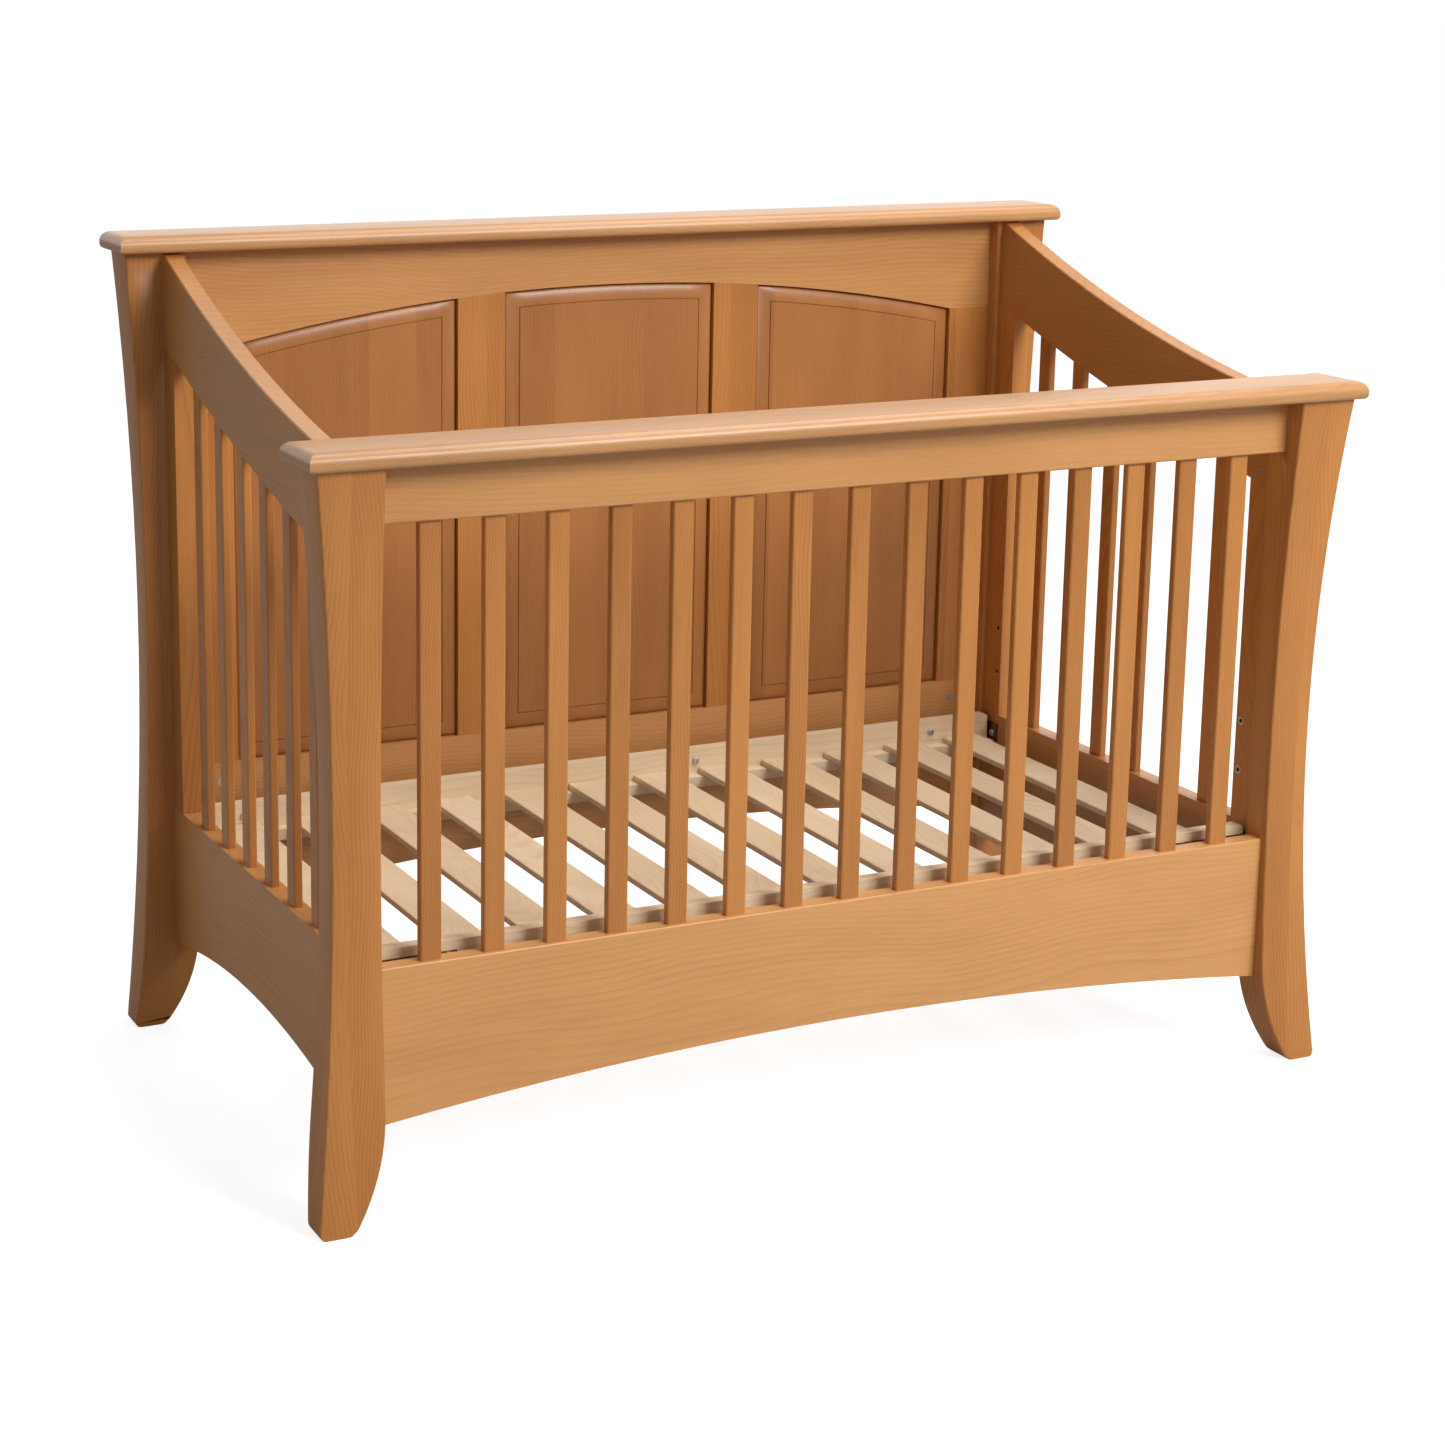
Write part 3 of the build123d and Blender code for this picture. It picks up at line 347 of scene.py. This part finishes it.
finish = {
    "support_slats": bare_slat_wood, "support_rear_cleat": bare_cleat_wood,
    "support_front_cleat": bare_cleat_wood, "support_ledgers": bare_cleat_wood, "support_brackets": bronze,
    "cleat_bolts_and_nuts": zinc, "support_bolts_and_inserts": zinc, "frame_studs_and_barrel_nuts": zinc,
}
for name in nodes:
    if name.startswith("front_slat"):
        finish[name] = front_slat_wood
    elif "_end_slat" in name:
        finish[name] = end_slat_wood
    elif name.startswith("post_"):
        finish[name] = post_wood
    elif name.endswith("_stile") or name.endswith("_mullion"):
        finish[name] = stile_wood
    elif name.startswith("back_panel"):
        finish[name] = panel_wood

# each rail is one board: its tones (with painted light on the front, back and cap rails), the way its grain
# runs, and its rings' width and strength
FIRST_RAIL_SEED = 11.3
RAILS = (
    ("front_cap_rail", CAP_HONEY_PAINTED_SHEEN, "x", 6, 0.2),
    ("rear_cap_rail", CAP_HONEY_PAINTED_SHEEN, "x", 6, 0.2),
    ("front_top_rail", RAIL_HONEY_PAINTED_LIGHT, "x", 5, 0.18),
    ("front_bottom_rail", RAIL_HONEY_PAINTED_LIGHT, "x", 8, 0.22),
    ("back_top_rail", RAIL_HONEY_PAINTED_LIGHT, "x", 6, 0.25),
    ("back_bottom_rail", RAIL_HONEY_PAINTED_LIGHT, "x", 7, 0.25),
    ("left_end_top_rail", END_RAIL_HONEY, "y", 6, 0.22),
    ("right_end_top_rail", END_RAIL_HONEY, "y", 6, 0.22),
    ("left_end_bottom_rail", END_RAIL_HONEY, "y", 8, 0.25),
    ("right_end_bottom_rail", END_RAIL_HONEY, "y", 8, 0.25),
)
for index, (name, tones, along, ring_width, strength) in enumerate(RAILS):
    finish[name] = wood(
        f"{name}_wood", along, tones, centre=middle(name), ring_width=ring_width * MM, ring_strength=strength,
        seed=FIRST_RAIL_SEED + index)


def paint(piece, material):
    """Give a piece one material in all its slots."""
    if not piece.material_slots:
        piece.data.materials.append(material)
    for slot in piece.material_slots:
        slot.material = material


for name, piece in nodes.items():
    paint(piece, finish[name])


# ---------------------------------------------------------------- refined pieces
def deselect():
    if bpy.context.object and bpy.context.object.mode != "OBJECT":
        bpy.ops.object.mode_set(mode="OBJECT")
    bpy.ops.object.select_all(action="DESELECT")


def only(piece):
    deselect()
    piece.select_set(True)
    bpy.context.view_layer.objects.active = piece


def settle(piece):
    """Move a piece's place into its mesh, so that its object sits at the origin."""
    only(piece)
    bpy.ops.object.transform_apply(location=True, rotation=True, scale=True)


def edit(piece):
    """Open a piece in edit mode with nothing selected, and give its mesh."""
    only(piece)
    bpy.ops.object.mode_set(mode="EDIT")
    bpy.ops.mesh.select_all(action="DESELECT")
    return bmesh.from_edit_mesh(piece.data)


def choose(piece, mesh, faces=None, edges=None):
    """Select the faces or edges that pass a test."""
    bpy.context.tool_settings.mesh_select_mode = (False, faces is None, faces is not None)
    for item in mesh.faces if faces else mesh.edges:
        item.select_set(bool((faces or edges)(item)))
    bmesh.update_edit_mesh(piece.data)


def centre_of(edge):
    return (edge.verts[0].co + edge.verts[1].co) / 2


def finish_piece(piece, name, angle=35):
    """Shade a refined piece smooth up to an angle in degrees and let it stand for its CAD node."""
    bpy.ops.object.mode_set(mode="OBJECT")
    only(piece)
    bpy.ops.object.shade_smooth_by_angle(angle=math.radians(angle))
    paint(piece, finish[name])
    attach(piece, "crib_frame")
    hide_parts(name)


SANDED_EDGE = 3 * MM
POST_TOP_LEFT_SHARP = 13 * MM                  # the stub tenon and the shoulder under the cap rail
RAIL_SEATS_X = 657.5 * MM, 700 * MM            # where a front or back rail's end meets the post
END_SEATS_Y = 340.5 * MM, 383 * MM             # where an end panel meets the post
SEATS_BOTTOM = 150 * MM


def outside(value, low_high):
    return value < low_high[0] or value > low_high[1]


def sanded_post(name):
    """A post with its four long corners rounded over, as sanded before lacquering."""
    piece = bpy.data.objects.new(f"{name}_sanded", nodes[name].data.copy())
    bpy.context.scene.collection.objects.link(piece)
    edit(piece)
    bpy.ops.mesh.select_all(action="SELECT")
    bpy.ops.mesh.remove_doubles(threshold=0.01 * MM)
    bpy.ops.mesh.dissolve_limited(angle_limit=math.radians(0.3))
    mesh = bmesh.from_edit_mesh(piece.data)
    top = max(v.co.z for v in mesh.verts) - POST_TOP_LEFT_SHARP

    def long_corner(edge):
        if len(edge.link_faces) != 2 or edge.calc_face_angle() < math.radians(40):
            return False
        place = centre_of(edge)
        if abs(edge.verts[0].co.z - edge.verts[1].co.z) < 1 * MM or place.z > top:
            return False
        clear_of_seats = outside(abs(place.x), RAIL_SEATS_X) and outside(abs(place.y), END_SEATS_Y)
        return place.z < SEATS_BOTTOM or clear_of_seats

    choose(piece, mesh, edges=long_corner)
    bpy.ops.mesh.bevel(offset=SANDED_EDGE, segments=3, affect="EDGES", clamp_overlap=False)
    finish_piece(piece, name)


NOSE_ROLL = 14 * MM
UNDER_ROLL = 6 * MM


def moulded_cap(name):
    """A cap rail: a flat top that rolls over a broad nose and tucks under it, mitred at the corners."""
    low, high = box[name]
    deselect()
    bpy.ops.mesh.primitive_cube_add(size=1, location=middle(name), scale=high - low)
    piece = bpy.context.object
    piece.name = f"{name}_moulded"
    settle(piece)
    for level, reach, steps in ((high.z, NOSE_ROLL, 9), (low.z, UNDER_ROLL, 5)):
        mesh = edit(piece)
        choose(piece, mesh, edges=lambda e: all(abs(v.co.z - level) < 0.1 * MM for v in e.verts))
        bpy.ops.mesh.bevel(offset=reach, segments=steps, profile=0.5, affect="EDGES")
        bpy.ops.object.mode_set(mode="OBJECT")
    finish_piece(piece, name, angle=30)


# the curve under the back's top rail: half its length, and its height at the ends and in the middle
ARCH_HALF = 587 * MM
ARCH_ENDS = 984 * MM
ARCH_MIDDLE = 1046 * MM
ARCH_COLUMNS = 8
# a panel's section: its tongue, a step up to the bevel, the bevel, and a quirk round the field
PANEL_TONGUE = 7 * MM
PANEL_CLEAR = 1.2 * MM
TONGUE_THICKNESS = 6 * MM
STEP_WIDTH, STEP_RISE = 0.4 * MM, 1.2 * MM
BEVEL_WIDTH, BEVEL_RISE = 22 * MM, 5.6 * MM
BEVEL_STEPS = 9
QUIRK_WIDTH, QUIRK_FALL = 0.7 * MM, 1.4 * MM
FIELD_EDGE_WIDTH, FIELD_EDGE_RISE = 0.9 * MM, 1.7 * MM


def arch_height(x):
    rise = ARCH_MIDDLE - ARCH_ENDS
    radius = (ARCH_HALF ** 2 + rise ** 2) / (2 * rise)
    return ARCH_MIDDLE - radius + math.sqrt(radius ** 2 - x ** 2)


def inset(width, rise):
    bpy.ops.mesh.inset(thickness=width, depth=rise, use_even_offset=True)


def raised_panel(name):
    """A panel with a broad rounded bevel, mitred at the corners, and a fine quirk round its field."""
    low, high = box[name]
    deselect()
    bpy.ops.mesh.primitive_grid_add(
        x_subdivisions=ARCH_COLUMNS, y_subdivisions=1, size=1, location=middle(name),
        rotation=(math.radians(90), 0, 0))
    piece = bpy.context.object
    piece.name = f"{name}_raised"
    piece.scale = (high.x - low.x, high.z - low.z, 1)
    settle(piece)
    mesh = edit(piece)
    for vert in mesh.verts:
        vert.co.y = high.y
        if vert.co.z > middle(name).z:
            vert.co.z = arch_height(vert.co.x) + PANEL_TONGUE
    bmesh.update_edit_mesh(piece.data)
    bpy.ops.mesh.select_all(action="SELECT")
    bpy.ops.mesh.normals_make_consistent(inside=False)
    mesh = bmesh.from_edit_mesh(piece.data)
    if mesh.faces[:][0].normal.y > 0:
        bpy.ops.mesh.flip_normals()
    # the edge that sits in the groove, then the small step up to the bevel
    bpy.ops.mesh.extrude_region_move(TRANSFORM_OT_translate={"value": (0, -TONGUE_THICKNESS, 0)})
    inset(PANEL_TONGUE + PANEL_CLEAR, 0)
    inset(STEP_WIDTH, STEP_RISE)
    for step in range(BEVEL_STEPS):
        here, there = (math.radians(90 * k / BEVEL_STEPS) for k in (step, step + 1))
        inset(
            BEVEL_WIDTH * (math.cos(here) - math.cos(there)),
            BEVEL_RISE * (math.sin(there) - math.sin(here)))
    # the quirk and the field
    inset(QUIRK_WIDTH, -QUIRK_FALL)
    inset(FIELD_EDGE_WIDTH, FIELD_EDGE_RISE)
    # close the back
    bpy.ops.mesh.select_all(action="DESELECT")
    mesh = bmesh.from_edit_mesh(piece.data)
    choose(piece, mesh, edges=lambda e: e.is_boundary)
    bpy.ops.mesh.edge_face_add()
    finish_piece(piece, name, angle=30)


for name in ("post_front_left", "post_front_right", "post_rear_left", "post_rear_right"):
    sanded_post(name)
for name in ("front_cap_rail", "rear_cap_rail"):
    moulded_cap(name)
for name in ("back_panel_left", "back_panel_centre", "back_panel_right"):
    raised_panel(name)


# ---------------------------------------------------------------- floor, light and camera
FLOOR_SIZE = 400
FLOOR_GREY = 0.42
FLOOR_GLOW = 0.82
WHITE = (1, 1, 1, 1)

deselect()
bpy.ops.mesh.primitive_plane_add(size=FLOOR_SIZE, location=(0, 0, 0))
floor = bpy.context.object
floor.name = "floor"
paper = bpy.data.materials.new("pale_floor")
paper.use_nodes = True
tree = paper.node_tree
tree.nodes.remove(tree.nodes["Principled BSDF"])
seen = add_node(tree, "ShaderNodeLightPath").outputs["Is Camera Ray"]
sheet = put(tree, add_node(tree, "ShaderNodeBsdfDiffuse"), {"Color": (FLOOR_GREY,) * 3 + (1,)})
glow = put(tree, add_node(tree, "ShaderNodeEmission"), {"Color": WHITE, "Strength": FLOOR_GLOW})
lit = put(tree, add_node(tree, "ShaderNodeAddShader"), {0: sheet.outputs[0], 1: glow.outputs[0]})
either = put(tree, add_node(tree, "ShaderNodeMixShader"), {0: seen, 1: sheet.outputs[0], 2: lit.outputs[0]})
tree.links.new(either.outputs[0], tree.nodes["Material Output"].inputs["Surface"])
paint(floor, paper)

# the studio is white to the eye; its light is even on the right, only low down on the left, and strong behind
SIDE_LIGHT = 0.42
LEFTNESS = [(0.1, 1.0), (0.7, 0.0)]
LEFT_LIGHT_BY_HEIGHT = [(0.1, 0.5), (0.4, 0.12)]
LIGHT_BEHIND = [(0.25, 0.0), (0.8, 0.8)]

world = bpy.data.worlds.new("studio")
bpy.context.scene.world = world
world.use_nodes = True
tree = world.node_tree
sides = parts_of(tree, add_node(tree, "ShaderNodeTexCoord").outputs["Generated"])
leftness = ramp(tree, math_node(tree, "MULTIPLY_ADD", sides["X"], 0.5, 0.5), LEFTNESS)
left_light = ramp(tree, sides["Z"], LEFT_LIGHT_BY_HEIGHT)
difference = math_node(tree, "SUBTRACT", left_light, SIDE_LIGHT)
all_round = math_node(tree, "MULTIPLY_ADD", leftness, difference, SIDE_LIGHT)
light_level = math_node(tree, "ADD", all_round, ramp(tree, sides["Y"], LIGHT_BEHIND))
seen = add_node(tree, "ShaderNodeLightPath").outputs["Is Camera Ray"]
level = math_node(tree, "MAXIMUM", seen, light_level)
put(tree, tree.nodes["Background"], {"Color": WHITE, "Strength": level})


def softbox(name, place, target, size, power):
    """A soft rectangular lamp at a place, turned to its target."""
    light = bpy.data.lights.new(name, "AREA")
    light.shape = "RECTANGLE"
    light.size, light.size_y = size
    light.energy = power
    lamp = bpy.data.objects.new(name, light)
    bpy.context.scene.collection.objects.link(lamp)
    aim = Vector(target) - Vector(place)
    lamp.matrix_world = Matrix.Translation(place) @ aim.to_track_quat("-Z", "Y").to_matrix().to_4x4()


softbox("key_light", (1.7, -3.8, 3.1), (0.1, 0, 0.6), (2.2, 1.6), 170)
softbox("top_light", (1.3, -0.6, 4.2), (0.1, 0, 0.5), (3.0, 2.0), 100)

scene = bpy.context.scene
scene.view_settings.view_transform = "Standard"
scene.view_settings.look = "None"

CAMERA_PLACE = (-1.8378, -3.4386, 1.5244)
CAMERA_YAW, CAMERA_PITCH, CAMERA_ROLL = (math.radians(angle) for angle in (-24.91, -12.36, 0.45))
LEVEL_VIEW = math.radians(90)

lens = bpy.data.cameras.new("camera")
lens.sensor_width = 36
lens.lens = 71.49
lens.shift_x = 0.1094
lens.shift_y = -0.0988
lens.clip_end = 200
camera = bpy.data.objects.new("camera", lens)
scene.collection.objects.link(camera)
turn = Matrix.Rotation(CAMERA_YAW, 4, "Z")
tilt = Matrix.Rotation(LEVEL_VIEW + CAMERA_PITCH, 4, "X")
roll = Matrix.Rotation(CAMERA_ROLL, 4, "Z")
camera.matrix_world = Matrix.Translation(CAMERA_PLACE) @ turn @ tilt @ roll
scene.camera = camera
